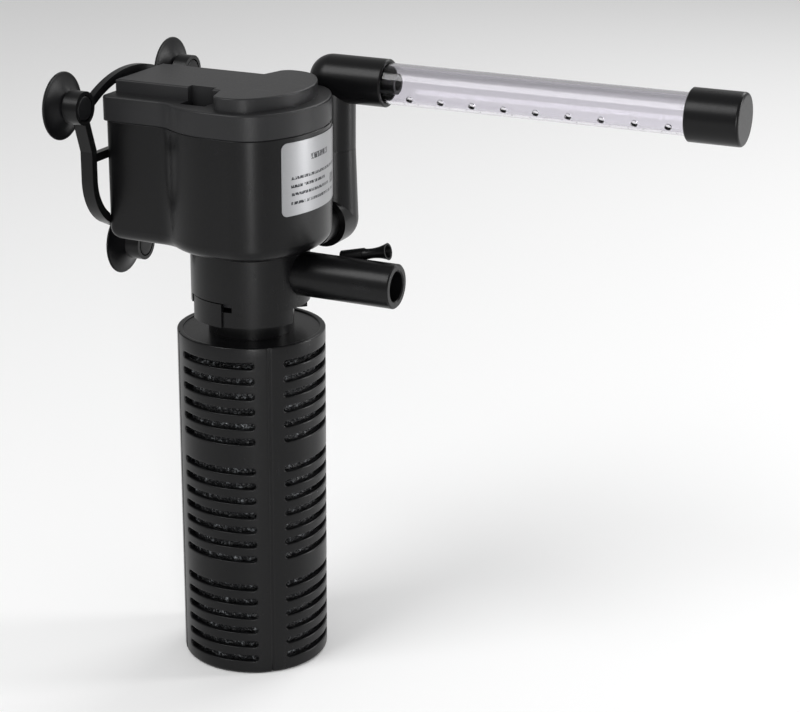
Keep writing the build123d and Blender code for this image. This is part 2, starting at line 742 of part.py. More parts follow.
impeller_bottom = plate_low_z + suction_plate_t + bush_flange_h + 2 * face_gap
blade_top_z = impeller_low_z + impeller_blade_h
with BuildPart() as impeller:
    with BuildSketch(Plane.XY.offset(impeller_low_z)):
        Circle(impeller_hub_r)
        with PolarLocations(impeller_r / 2, blade_count):
            Rectangle(impeller_r, blade_t)
    extrude(amount=impeller_blade_h)
    with BuildSketch(Plane.XY.offset(blade_top_z)):
        Circle(impeller_r)
    extrude(amount=hub_disc_t)
    with BuildSketch(Plane.XY.offset(impeller_bottom)):
        Circle(sleeve_r)
    extrude(amount=rotor_top_z - impeller_bottom)
    with BuildSketch(Plane.XY.offset(blade_top_z)):
        Circle(rotor_r - cut_over)
    extrude(amount=rotor_low_z - seat_gap - blade_top_z)
    with BuildSketch(Plane.XY.offset(impeller_bottom)):
        Circle(shaft_r + run_gap)
    extrude(amount=rotor_top_z, mode=Mode.SUBTRACT)
save(impeller.part, "impeller")

# ---------------------------------------------------------------- air intake nipple on the nozzle
horn_plug_r = air_bore_r - run_gap
horn_seat_z = run_gap
with BuildPart() as air_nipple:
    with BuildSketch(Plane.XZ):
        with BuildLine():
            Polyline(
                (air_throat_r, -air_plug_l),
                (horn_plug_r, -air_plug_l),
                (horn_plug_r, horn_seat_z),
                (air_boss_r - face_gap, horn_seat_z),
            )
            ThreePointArc(
                (air_boss_r - face_gap, horn_seat_z),
                (air_neck_r, air_horn_l / 2),
                (air_horn_r, air_horn_l),
            )
            Polyline(
                (air_horn_r, air_horn_l),
                (air_horn_r - air_horn_t, air_horn_l),
                (air_throat_r, air_horn_l / 2),
                (air_throat_r, -air_plug_l),
            )
        make_face()
    revolve(axis=Axis.Z)
air_nipple.part.location = Location(air_plane.offset(air_boss_l))
save(air_nipple.part, "air_nipple")

# ---------------------------------------------------------------- label on the lobe
with BuildPart() as rating_label:
    with BuildSketch(Plane.XY.offset(label_low_z)):
        add(head_plan(back_x, label_lift + label_t))
        add(head_plan(back_x, label_lift), mode=Mode.SUBTRACT)
        with Locations((lobe_front_x, 0)):
            Rectangle(lobe_front_x, 2 * label_half_w, mode=Mode.INTERSECT)
    extrude(amount=label_h)
save(rating_label.part, "rating_label")

# ---------------------------------------------------------------- lower riser elbow
elbow_plane = Plane.XY.offset(leg_z)
with BuildPart() as riser_lower_elbow:
    with Locations((riser_x, riser_y, leg_z)):
        Sphere(leg_r)
    with BuildSketch(Plane.XZ.offset(-leg_end_y)):
        with Locations((riser_x, leg_z)):
            Circle(leg_r)
    extrude(amount=-(riser_y - leg_end_y))
    with BuildSketch(elbow_plane):
        with Locations((riser_x, riser_y)):
            Circle(leg_r)
    with BuildSketch(Plane.XY.offset(joint_z)):
        with Locations((riser_x, riser_y)):
            Circle(riser_r)
    loft()
    with BuildSketch(Plane.XZ.offset(cut_over - leg_end_y)):
        with Locations((riser_x, leg_z)):
            Circle(spigot_r + run_gap)
    extrude(amount=-(spigot_end_y + face_gap + cut_over - leg_end_y), mode=Mode.SUBTRACT)
    with BuildSketch(Plane.XZ.offset(-leg_end_y)):
        with Locations((riser_x, leg_z)):
            Circle(riser_bore_r)
    extrude(amount=-(riser_y - leg_end_y), mode=Mode.SUBTRACT)
    with Locations((riser_x, riser_y, leg_z)):
        Sphere(riser_bore_r, mode=Mode.SUBTRACT)
    with BuildSketch(elbow_plane):
        with Locations((riser_x, riser_y)):
            Circle(riser_bore_r)
    extrude(amount=joint_z - leg_z, mode=Mode.SUBTRACT)
    with BuildSketch(Plane.XY.offset(joint_z - joint_depth)):
        with Locations((riser_x, riser_y)):
            Circle(joint_r + run_gap)
    extrude(amount=joint_depth, mode=Mode.SUBTRACT)
save(riser_lower_elbow.part, "riser_lower_elbow")

# ---------------------------------------------------------------- upper riser elbow with tube socket
upper_low_z = joint_z + seat_gap
with BuildPart() as riser_upper_elbow:
    with Locations((riser_x, riser_y, bar_z)):
        Sphere(socket_r)
    with BuildSketch(Plane.XY.offset(upper_low_z)):
        with Locations((riser_x, riser_y)):
            Circle(riser_r)
    extrude(amount=bar_z - upper_low_z)
    with BuildSketch(Plane.XY.offset(joint_z - joint_depth + face_gap)):
        with Locations((riser_x, riser_y)):
            Circle(joint_r)
    extrude(amount=joint_depth)
    with BuildSketch(Plane.YZ.offset(riser_x)):
        with Locations((riser_y, bar_z)):
            Circle(socket_r)
    extrude(amount=mouth_x - riser_x)
    chamfer(riser_upper_elbow.edges().group_by(Axis.X)[-1], mouth_chamfer)
    with BuildSketch(Plane.YZ.offset(socket_stop_x)):
        with Locations((riser_y, bar_z)):
            Circle(tube_r + run_gap)
            Circle(stub_r, mode=Mode.SUBTRACT)
    extrude(amount=mouth_x - socket_stop_x, mode=Mode.SUBTRACT)
    with BuildSketch(Plane.YZ.offset(mouth_x - cut_over)):
        with Locations((riser_y, bar_z)):
            Circle(stub_r)
    extrude(amount=stub_end_x - mouth_x + cut_over)
    with BuildSketch(Plane.YZ.offset(riser_x)):
        with Locations((riser_y, bar_z)):
            Circle(stub_bore_r)
    extrude(amount=stub_end_x - riser_x, mode=Mode.SUBTRACT)
    with BuildSketch(Plane.XY.offset(joint_z - joint_depth)):
        with Locations((riser_x, riser_y)):
            Circle(riser_bore_r)
    extrude(amount=bar_z - stub_bore_r - joint_z + joint_depth, mode=Mode.SUBTRACT)
save(riser_upper_elbow.part, "riser_upper_elbow")

# ---------------------------------------------------------------- clear spray tube
tube_start_x = socket_stop_x + face_gap
tube_in_r = tube_r - tube_wall
with BuildPart() as spray_tube:
    with BuildSketch(Plane.YZ.offset(tube_start_x)):
        with Locations((riser_y, bar_z)):
            Circle(tube_r)
            Circle(tube_in_r, mode=Mode.SUBTRACT)
    extrude(amount=tube_end_x - tube_start_x)
    for i in range(hole_count):
        a = radians(hole_angle)
        jet = Plane(
            origin=(hole_first_x + hole_pitch * i, riser_y, bar_z),
            x_dir=(1, 0, 0),
            z_dir=(0, -cos(a), sin(a)),
        )
        with BuildSketch(jet.offset(tube_in_r - cut_over)):
            Circle(hole_r)
        extrude(amount=tube_wall + 2 * cut_over, mode=Mode.SUBTRACT)
save(spray_tube.part, "spray_tube")

# ---------------------------------------------------------------- end cap of the spray tube
with BuildPart() as spray_end_cap:
    with BuildSketch(Plane.YZ.offset(cap_start_x)):
        with Locations((riser_y, bar_z)):
            Circle(cap_r)
    extrude(amount=cap_end_x - cap_start_x)
    chamfer(spray_end_cap.edges().group_by(Axis.X)[0], mouth_chamfer)
    fillet(spray_end_cap.edges().group_by(Axis.X)[-1], cap_edge_fillet)
    with BuildSketch(Plane.YZ.offset(cap_start_x)):
        with Locations((riser_y, bar_z)):
            Circle(tube_r + run_gap)
    extrude(amount=tube_end_x + face_gap - cap_start_x, mode=Mode.SUBTRACT)
save(spray_end_cap.part, "spray_end_cap")

# ---------------------------------------------------------------- suction-cup bracket
cup_seats = {
    "suction_cup_left": (-cup_half_spread, cup_top_z),
    "suction_cup_right": (cup_half_spread, cup_top_z),
    "suction_cup_low": (0, cup_low_z),
}
boss_rear_x = cup_neck_x
arm_mid_y = arm_half_w - strip_w / 2
arch_mid_z = arch_top_z - strip_w / 2
arch_foot_y = arm_half_w - arch_foot_inset
arch_foot_z = arch_mid_z - (arch_r - sqrt(arch_r**2 - arch_foot_y**2))
pad_top_z = rail_top_z - face_gap

with BuildPart() as suction_bracket:
    with BuildSketch(Plane.YZ.offset(bracket_rear_x)):
        for side in (-1, 1):
            with BuildLine():
                upper = Line((side * cup_half_spread, cup_top_z), (side * arm_mid_y, arm_top_z))
                outer = Line(upper @ 1, (side * arm_mid_y, arm_low_z))
                bend = TangentArc(
                    outer @ 1,
                    (
                        side * (arm_mid_y - arm_bend_r * (1 - cos(radians(arm_turn)))),
                        arm_low_z - arm_bend_r * sin(radians(arm_turn)),
                    ),
                    tangent=(0, -1),
                )
                Line(bend @ 1, (0, cup_low_z + boss_r - strip_w / 2))
            trace(line_width=strip_w)
    extrude(amount=bracket_front_x - bracket_rear_x)
    with BuildSketch(Plane.YZ.offset(arch_rear_x)):
        with BuildLine():
            ThreePointArc((-arch_foot_y, arch_foot_z), (0, arch_mid_z), (arch_foot_y, arch_foot_z))
        trace(line_width=strip_w)
        with Locations((0, crossbar_z)):
            Rectangle(2 * arm_mid_y, crossbar_h)
    extrude(amount=arch_front_x - arch_rear_x)
    with BuildSketch(Plane.XY.offset(housing_low_z - face_gap)):
        with Locations((0, 0)):
            Rectangle(2 * (-back_x + face_gap), 2 * (back_half_w + face_gap))
    extrude(amount=top_z, mode=Mode.SUBTRACT)
    with BuildSketch(Plane.YZ.offset(boss_rear_x)):
        with Locations(*cup_seats.values()):
            Circle(boss_r)
    extrude(amount=boss_front_x - boss_rear_x)
    with BuildSketch(Plane.XY.offset(pad_top_z)):
        with Locations((back_x - face_gap - pad_d / 2, 0)):
            Rectangle(pad_d, 2 * pad_half_w)
    extrude(amount=-pad_h)
    with BuildSketch(Plane.XY.offset(pad_top_z)):
        with Locations((back_x - rail_neck_d / 2, 0)):
            Rectangle(rail_neck_d + 2 * cut_over, 2 * (rail_neck_half + face_gap))
        with Locations((back_x - rail_neck_d - rail_head_d / 2, 0)):
            Rectangle(rail_head_d + 2 * face_gap, 2 * (rail_head_half + face_gap))
    extrude(amount=-pad_h, mode=Mode.SUBTRACT)
    with BuildSketch(Plane.YZ.offset(boss_rear_x)):
        with Locations(*cup_seats.values()):
            Circle(cup_stem_r + run_gap)
    extrude(amount=boss_front_x - boss_rear_x, mode=Mode.SUBTRACT)
    with BuildSketch(Plane.YZ.offset(boss_front_x)):
        with Locations(*cup_seats.values()):
            Circle(cup_head_r + face_gap)
    extrude(amount=-cup_head_t - face_gap, mode=Mode.SUBTRACT)
save(suction_bracket.part, "suction_bracket")

# ---------------------------------------------------------------- suction cups
head_low_x = boss_front_x - cup_head_t
cup_back_x = cup_neck_x - face_gap
lip_x = cup_rim_x + cup_lip_t
hollow_x = cup_rim_x + cup_hollow
for name, (seat_y, seat_z) in cup_seats.items():
    with BuildPart() as cup:
        with BuildSketch(Plane.XZ):
            with BuildLine():
                Polyline(
                    (hollow_x, cup_pole_r),
                    (hollow_x, 0),
                    (boss_front_x, 0),
                    (boss_front_x, cup_head_r - cup_head_chamfer),
                    (boss_front_x - cup_head_chamfer, cup_head_r),
                    (head_low_x, cup_head_r),
                    (head_low_x, cup_stem_r),
                    (cup_back_x, cup_stem_r),
                    (cup_back_x, cup_stem_r + cup_shoulder_w),
                )
                ThreePointArc(
                    (cup_back_x, cup_stem_r + cup_shoulder_w),
                    ((cup_back_x + lip_x) / 2 - cup_lip_t / 2, cup_r * cup_bulge),
                    (lip_x, cup_r),
                )
                Polyline((lip_x, cup_r), (cup_rim_x, cup_r), (cup_rim_x, cup_r - cup_lip_w))
                ThreePointArc(
                    (cup_rim_x, cup_r - cup_lip_w),
                    (cup_rim_x + cup_hollow * 0.7, cup_r / 2),
                    (hollow_x, cup_pole_r),
                )
            make_face()
        revolve(axis=Axis.X)
    cup.part.position = (0, seat_y, seat_z)
    save(cup.part, name)
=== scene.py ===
"""Looks of the internal aquarium filter: slotted strainer with its sponge, pump head with a
silver label, clear spray bar and rubber suction cups, standing on a pale studio floor."""
import json
from functools import reduce
from math import atan2, cos, pi, radians, sin, sqrt, tau

import bmesh
import bpy
import numpy as np
from mathutils import Matrix, Vector


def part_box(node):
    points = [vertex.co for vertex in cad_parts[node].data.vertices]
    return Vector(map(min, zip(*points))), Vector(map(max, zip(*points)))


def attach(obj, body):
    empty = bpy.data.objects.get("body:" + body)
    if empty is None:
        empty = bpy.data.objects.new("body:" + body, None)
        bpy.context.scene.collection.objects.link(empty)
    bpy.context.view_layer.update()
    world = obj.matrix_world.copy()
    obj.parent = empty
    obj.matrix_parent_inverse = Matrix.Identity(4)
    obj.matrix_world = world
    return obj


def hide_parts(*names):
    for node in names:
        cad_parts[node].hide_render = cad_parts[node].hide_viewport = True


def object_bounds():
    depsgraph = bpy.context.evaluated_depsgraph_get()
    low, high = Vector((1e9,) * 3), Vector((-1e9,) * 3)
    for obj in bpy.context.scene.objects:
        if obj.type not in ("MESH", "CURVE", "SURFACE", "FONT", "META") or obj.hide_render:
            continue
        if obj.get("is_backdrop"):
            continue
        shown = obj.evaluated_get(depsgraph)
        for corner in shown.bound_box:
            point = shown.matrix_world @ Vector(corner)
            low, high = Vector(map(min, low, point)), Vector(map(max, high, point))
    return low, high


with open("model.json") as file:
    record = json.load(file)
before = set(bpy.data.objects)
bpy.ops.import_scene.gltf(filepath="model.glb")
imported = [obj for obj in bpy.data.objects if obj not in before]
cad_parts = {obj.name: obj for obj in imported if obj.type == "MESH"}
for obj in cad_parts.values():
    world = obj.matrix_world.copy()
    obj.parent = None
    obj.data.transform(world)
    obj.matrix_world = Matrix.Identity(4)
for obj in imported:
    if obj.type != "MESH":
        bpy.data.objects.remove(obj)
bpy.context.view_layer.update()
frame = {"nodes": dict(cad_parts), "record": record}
MM = 0.001

# ---------------------------------------------------------------- sizes read from the frame
canister_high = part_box("strainer_canister")[1]
CANISTER_R = canister_high.x
CANISTER_TOP = canister_high.z
sponge_low, sponge_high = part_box("filter_sponge")
tube_low, tube_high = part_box("spray_tube")
TUBE_AXIS_Y = (tube_low.y + tube_high.y) / 2
TUBE_AXIS_Z = (tube_low.z + tube_high.z) / 2
TUBE_R = (tube_high.z - tube_low.z) / 2
label_low, label_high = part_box("rating_label")

# strainer, in metres
CANISTER_WALL = 2.3 * MM
CANISTER_FLOOR = 2.4 * MM
RIB_ANGLE = radians(-48)
SLOT_COLUMNS = 4
SLOT_ARC = radians(67)
SLOT_H = 2.7 * MM
SLOT_PITCH = 6.37 * MM
SLOT_TOP_Z = 134.4 * MM
SLOT_GROUPS = (6, 7, 6)
SLOT_LIP_R = 0.4 * MM
CELL_MARGIN = 1.2 * MM
FOOT_FILLET = 1.6 * MM
RIM_FILLET = 0.5 * MM
GROOVE_DEPTH = 0.45 * MM
GROOVE_W = 0.5 * MM
GROOVE_FOOT_H = 3.2 * MM        # below this height the groove is deeper
GROOVE_FOOT_SHARE = 1.6
SLOT_LIP_REACH = 2.2            # outermost ring of a slot, in lip radii

# sponge
SPONGE_BORE_R = 9.0 * MM
SPONGE_CHAMFER = 1.5 * MM
SPONGE_ROUGH = 0.35 * MM
SPONGE_SIDES = 220
SPONGE_ROWS = 150
FINEST_LUMPS = 90               # whole turns of the finest random wave
LUMP_RISE = 35.0                # how fast the waves run up the sponge, per turn

# spray tube
TUBE_WALL = 1.2 * MM
JET_R = 1.3 * MM
JET_COUNT = 9
JET_FIRST_X = 52.5 * MM
JET_PITCH = 13.4 * MM
JET_ANGLE = radians(-148)
JET_TILE = 3.2 * MM             # half the width of the square tile round a jet
JET_LIP_R = 0.2 * MM
JET_SIDES = 32
TUBE_SIDES = 72

# pump head's front, under the label
LOBE_R = 33.3 * MM
LOBE_CORNER_R = 17.0 * MM
LOBE_FRONT_R = 45.0 * MM
LOBE_FRONT_X = 31.4 * MM
LABEL_CORNER_R = 2.6 * MM
LABEL_LIFT = 0.04 * MM
LABEL_T = 0.22 * MM
LABEL_COLUMNS = 61

# suction cups
CUP_RIM_X = -59.6 * MM
CUP_R = 13.3 * MM
CUP_HOLLOW = 3.2 * MM
CUP_LIP_R = 0.45 * MM
CUP_LIP_W = 1.0 * MM
CUP_NECK_X = -55.2 * MM
CUP_SHOULDER_W = 2.0 * MM
CUP_STEM_R = 3.0 * MM
CUP_HEAD_R = 4.8 * MM
CUP_HEAD_T = 2.0 * MM
CUP_HEAD_EDGE_R = 0.6 * MM
CUP_FRONT_X = -48.6 * MM
CUP_SIDES = 64
HOLLOW_POWER = 2.2
BELL_POWER = 1.55

# sheen, as Specular IOR Level
PLASTIC_SHEEN = 0.22
RUBBER_SHEEN = 0.2


# ---------------------------------------------------------------- mesh code
def skin(points, around=False):
    """Vertices and quads over a grid of points, rows by columns; around joins the last row to the
    first. Faces look to the side from which rows run right and columns run up."""
    rows, cols = points.shape[:2]
    index = np.arange(rows * cols).reshape(rows, cols)
    if around:
        index = np.vstack([index, index[:1]])
    a, b, c, d = index[:-1, :-1], index[1:, :-1], index[1:, 1:], index[:-1, 1:]
    return points.reshape(-1, 3), np.stack([a, b, c, d], -1).reshape(-1, 4)


def new_piece(name, skins, material, sharp=35.0, uvs=None, recalculate=False):
    """Joins skins into one mesh object at the origin, welds their common edges and shades it
    smooth apart from edges sharper than the given angle in degrees."""
    verts, faces, start = [], [], 0
    for points, quads in skins:
        verts.append(points)
        faces.append(quads + start)
        start += len(points)
    verts, faces = np.vstack(verts), np.vstack(faces)
    mesh = bpy.data.meshes.new(name)
    mesh.from_pydata(verts.tolist(), [], faces.tolist())
    if uvs is not None:
        layer = mesh.uv_layers.new(name="print")
        loops = np.empty(len(mesh.loops), np.int32)
        mesh.loops.foreach_get("vertex_index", loops)
        layer.data.foreach_set("uv", uvs[loops].ravel())
    work = bmesh.new()
    work.from_mesh(mesh)
    bmesh.ops.remove_doubles(work, verts=work.verts, dist=2e-6)
    bmesh.ops.dissolve_degenerate(work, edges=work.edges, dist=1e-7)
    if recalculate:
        bmesh.ops.recalc_face_normals(work, faces=work.faces)
    work.to_mesh(mesh)
    work.free()
    mesh.shade_smooth()
    mesh.set_sharp_from_angle(angle=radians(sharp))
    mesh.materials.append(material)
    piece = bpy.data.objects.new(name, mesh)
    bpy.context.scene.collection.objects.link(piece)
    return piece


def turned(profile, sides, centre, axis="Z"):
    """Carries a profile of (radius, height) pairs around an axis: each point's place is the centre,
    plus height along the axis, plus radius times (cos a, sin a) across it."""
    profile = np.asarray(profile, float)
    a = np.arange(sides)[:, None] * tau / sides
    r, h = profile[None, :, 0], profile[None, :, 1] + 0 * a
    across, up = r * np.cos(a), r * np.sin(a)
    grid = {"Z": (across, up, h), "X": (h, across, up)}[axis]
    return skin(np.stack(grid, -1) + np.asarray(centre), around=True)


def arc(centre, radius, start, stop, count):
    """Points of a round arc: centre plus radius times (cos a, sin a), angles in degrees."""
    a = np.radians(np.linspace(start, stop, count))
    return np.stack([centre[0] + radius * np.cos(a), centre[1] + radius * np.sin(a)], 1)


# ---------------------------------------------------------------- strainer canister
def slot_outline(half_l, half_h, grow, corner):
    """Stadium: two straights at half_h + grow and two half circles about (half_l - half_h, 0).
    corner is the angle at which the cell's corner is seen from a half circle's centre."""
    centre = half_l - half_h
    straight = np.linspace(-centre, centre, 29)
    bends = np.concatenate([
        np.linspace(pi / 2, corner, 4)[1:],
        np.linspace(corner, -corner, 8)[1:],
        np.linspace(-corner, -pi / 2, 4)[1:-1],
    ])
    right = np.stack([centre + (half_h + grow) * np.cos(bends), (half_h + grow) * np.sin(bends)], 1)
    top = np.stack([straight, np.full_like(straight, half_h + grow)], 1)
    return np.vstack([top, right, -top, -right])


def cell_outline(half_l, half_h, half_w, half_p, corner):
    """The slot's outline pushed out, along rays from its half circles' centres, to the edge."""
    centre = half_l - half_h
    unit = slot_outline(half_l, half_h, 1.0, corner) - slot_outline(half_l, half_h, 0.0, corner)
    base = slot_outline(half_l, half_h, 0.0, corner) - half_h * unit
    reach_z = half_p / np.maximum(np.abs(unit[:, 1]), 1e-9)
    reach_a = (half_w - centre) / np.maximum(np.abs(unit[:, 0]), 1e-9)
    return base + unit * np.minimum(reach_z, reach_a)[:, None]


def on_wall(angle, z, radius):
    """Bends (angle, height, radius) on to the round wall, with a fine groove down each rib."""
    ribs = RIB_ANGLE + np.arange(SLOT_COLUMNS) * tau / SLOT_COLUMNS
    off = np.abs((angle[..., None] - ribs + pi) % tau - pi).min(-1) * CANISTER_R
    depth = GROOVE_DEPTH * np.exp(-((off / GROOVE_W) ** 2))
    notch = np.where(z < GROOVE_FOOT_H, GROOVE_FOOT_SHARE, 1.0)
    r = radius - np.where(radius > CANISTER_R - FOOT_FILLET, depth * notch, 0)
    return np.stack([r * np.cos(angle), r * np.sin(angle), z + 0 * r], -1)


def strainer_canister(material):
    """Round wall of cells. A slotted cell is a ring of outlines: cell edge, rounded outer lip,
    slot wall, rounded inner lip, cell edge inside. Blank cells, ribs and ends are plain grids."""
    inner_r = CANISTER_R - CANISTER_WALL
    half_l, half_h = CANISTER_R * SLOT_ARC / 2, SLOT_H / 2
    half_w, half_p = half_l + CELL_MARGIN, SLOT_PITCH / 2
    corner = atan2(half_p, half_w - (half_l - half_h))
    edge = cell_outline(half_l, half_h, half_w, half_p, corner)
    lip = np.radians(np.linspace(0, 90, 4))
    steps = [(CANISTER_R, SLOT_LIP_R * SLOT_LIP_REACH)]
    steps += [(CANISTER_R - SLOT_LIP_R * (1 - cos(t)), SLOT_LIP_R * (1 - sin(t))) for t in lip]
    steps += [(inner_r + SLOT_LIP_R * (1 - cos(t)), SLOT_LIP_R * (1 - sin(t))) for t in lip[::-1]]
    steps += [(inner_r, SLOT_LIP_R * SLOT_LIP_REACH)]
    rings = [edge] + [slot_outline(half_l, half_h, grow, corner) for _, grow in steps] + [edge]
    radii = np.array([CANISTER_R] + [r for r, _ in steps] + [inner_r])
    tile = np.stack(rings, 1)

    cell_a = np.unique(np.round(edge[:, 0], 9)) / CANISTER_R
    side_z = np.unique(np.round(edge[np.isclose(np.abs(edge[:, 0]), half_w), 1], 9))
    rib_half = tau / SLOT_COLUMNS / 2 - half_w / CANISTER_R
    fine = np.array([-3, -1.8, -1.2, -0.8, -0.4, 0, 0.4, 0.8, 1.2, 1.8, 3]) * GROOVE_W / CANISTER_R
    rib_a = np.concatenate([[-rib_half], fine, [rib_half]])
    columns = RIB_ANGLE + (np.arange(SLOT_COLUMNS) + 0.5) * tau / SLOT_COLUMNS
    around = np.concatenate([
        np.concatenate([mid - pi / SLOT_COLUMNS + rib_a[:-1], mid + cell_a[:-1]]) for mid in columns
    ])
    rows, blanks, row = [], [], 0
    for count in SLOT_GROUPS:
        rows += list(range(row, row + count))
        blanks.append(row + count)
        row += count + 1
    blanks.pop()
    skins = []
    for mid in columns:
        for i in rows:
            z = SLOT_TOP_Z - SLOT_PITCH * i
            grid = on_wall(mid + tile[..., 0] / CANISTER_R, z + tile[..., 1], radii[None, :])
            skins.append(skin(grid[::-1], around=True))
        for i in blanks:
            z = SLOT_TOP_Z - SLOT_PITCH * i + side_z
            for r, flip in ((CANISTER_R, 1), (inner_r, -1)):
                a, zz = np.meshgrid(mid + cell_a, z, indexing="ij")
                skins.append(skin(on_wall(a, zz, np.full_like(a, r))[::flip]))
        z = np.concatenate([SLOT_TOP_Z - SLOT_PITCH * i + side_z for i in range(row - 1)])
        z = np.unique(np.round(z, 7))
        for r, flip in ((CANISTER_R, 1), (inner_r, -1)):
            a, zz = np.meshgrid(mid - pi / SLOT_COLUMNS + rib_a, z, indexing="ij")
            skins.append(skin(on_wall(a, zz, np.full_like(a, r))[::flip]))
    top_z = SLOT_TOP_Z + half_p
    low_z = SLOT_TOP_Z - SLOT_PITCH * (row - 2) - half_p
    rim_z = CANISTER_TOP - RIM_FILLET
    rim = np.vstack([
        (CANISTER_R, top_z),
        arc((CANISTER_R - RIM_FILLET, rim_z), RIM_FILLET, 0, 90, 5),
        arc((inner_r + RIM_FILLET, rim_z), RIM_FILLET, 90, 180, 5),
        (inner_r, top_z),
    ])
    foot_r = CANISTER_R - FOOT_FILLET
    foot = np.array([(inner_r, low_z), (inner_r, CANISTER_FLOOR), (0, CANISTER_FLOOR)])
    base = np.vstack([
        [(0, 0), (foot_r * 0.6, 0)],
        arc((foot_r, FOOT_FILLET), FOOT_FILLET, -90, 0, 7),
        (CANISTER_R, low_z),
    ])
    for profile in (rim, foot, base):
        r, z = profile.T
        grid = on_wall(around[:, None] + 0 * r, z[None, :] + 0 * around[:, None], r[None, :])
        skins.append(skin(grid, around=True))
    return new_piece("strainer_basket", skins, material, sharp=50)


# ---------------------------------------------------------------- sponge
def lumps(a, z, seed, waves=26):
    """Sum of random cosines over the angle (whole turns) and the height, about -1 to 1."""
    pick = np.random.default_rng(seed)
    total = np.zeros(np.broadcast(a, z).shape)
    for _ in range(waves):
        turns = pick.integers(1, FINEST_LUMPS)
        rise = pick.uniform(-FINEST_LUMPS, FINEST_LUMPS) * LUMP_RISE
        total += np.cos(turns * a + rise * z + pick.uniform(0, tau))
    return total / sqrt(waves)


def filter_sponge(material):
    """Foam roll: a ring profile carried round, its outside roughened by random cosines."""
    outer = sponge_high.x - SPONGE_ROUGH
    low, high = sponge_low.z, sponge_high.z
    a = np.arange(SPONGE_SIDES)[:, None] * tau / SPONGE_SIDES
    z = np.linspace(low + SPONGE_CHAMFER, high - SPONGE_CHAMFER, SPONGE_ROWS)[None, :]
    r = outer - SPONGE_ROUGH * (1 + np.clip(lumps(a, z, 3), -1, 1))
    side = np.stack([r * np.cos(a), r * np.sin(a), z + 0 * a], -1)
    ring = np.array([
        (outer - SPONGE_CHAMFER, high),
        (SPONGE_BORE_R + SPONGE_CHAMFER, high),
        (SPONGE_BORE_R, high - SPONGE_CHAMFER),
        (SPONGE_BORE_R, low + SPONGE_CHAMFER),
        (SPONGE_BORE_R + SPONGE_CHAMFER, low),
        (outer - SPONGE_CHAMFER, low),
    ])
    caps = np.stack([ring[:, 0] * np.cos(a), ring[:, 0] * np.sin(a), ring[:, 1] + 0 * a], -1)
    whole = np.concatenate([side, caps, side[:, :1]], 1)
    return new_piece("foam_roll", [skin(whole, around=True)], material, sharp=80)


# ---------------------------------------------------------------- label
def lobe_path(s):
    """Place and outward direction along the lobe's front for arc lengths s from its middle: the
    broad front arc, then on each side the tighter corner arc that meets it tangentially."""
    front_x = LOBE_FRONT_X - LOBE_FRONT_R
    rise = LOBE_R - LOBE_CORNER_R
    corner_x = front_x + sqrt((LOBE_FRONT_R - LOBE_CORNER_R) ** 2 - rise**2)
    meet = atan2(rise, corner_x - front_x)
    side, far = np.sign(s), np.abs(s)
    on_front = far <= LOBE_FRONT_R * meet
    a = np.where(on_front, far / LOBE_FRONT_R, meet + (far - LOBE_FRONT_R * meet) / LOBE_CORNER_R)
    r = np.where(on_front, LOBE_FRONT_R, LOBE_CORNER_R)
    x = np.where(on_front, front_x, corner_x) + r * np.cos(a)
    y = np.where(on_front, 0, rise) + r * np.sin(a)
    return x, side * y, np.cos(a), side * np.sin(a)


def rating_label(material):
    """Thin film on the lobe: across, s runs over the width left by the rounded corners at each
    height; front and back skins lie at two lifts from the lobe and meet at the edge."""
    half_h = (label_high.z - label_low.z) / 2
    mid_z = (label_high.z + label_low.z) / 2
    along = np.linspace(0, LOBE_R, 2001)
    half_w = float(np.interp(label_high.y, lobe_path(along)[1], along))
    turn = np.linspace(0, pi / 2, 7)
    drop = LABEL_CORNER_R * (1 - np.cos(turn))
    straight = np.linspace(-half_h + LABEL_CORNER_R, half_h - LABEL_CORNER_R, 16)[1:-1]
    v = np.concatenate([-half_h + drop, straight, (half_h - drop)[::-1]])
    inside = np.clip(LABEL_CORNER_R - (half_h - np.abs(v)), 0, LABEL_CORNER_R)
    wide = half_w - LABEL_CORNER_R + np.sqrt(LABEL_CORNER_R**2 - inside**2)
    u = np.linspace(-1, 1, LABEL_COLUMNS)
    s = u[:, None] * wide[None, :]
    x, y, nx, ny = lobe_path(s)
    z = mid_z + v[None, :] + 0 * s
    back, front = (
        np.stack([x + lift * nx, y + lift * ny, z], -1)
        for lift in (LABEL_LIFT, LABEL_LIFT + LABEL_T)
    )
    flat = np.stack([s / half_w, z * 0 + v[None, :] / half_h], -1)
    parts, uv = [skin(front), skin(back[::-1])], [flat, flat[::-1]]
    for side in (np.s_[0], np.s_[-1], np.s_[:, 0], np.s_[:, -1]):
        parts.append(skin(np.stack([back[side], front[side]], 1)))
        uv.append(np.repeat(flat[side][:, None], 2, 1))
    uvs = np.vstack([block.reshape(-1, 2) for block in uv]).astype(np.float32)
    return new_piece("silver_label", parts, material, sharp=50, uvs=uvs, recalculate=True)


# ---------------------------------------------------------------- spray tube
def on_tube(x, a, r):
    """Place on the tube: x along it, and a turned from the jets' line."""
    turn = JET_ANGLE + a
    return np.stack(
        [x + 0 * a, TUBE_AXIS_Y + r * np.cos(turn), TUBE_AXIS_Z + r * np.sin(turn)], -1
    )


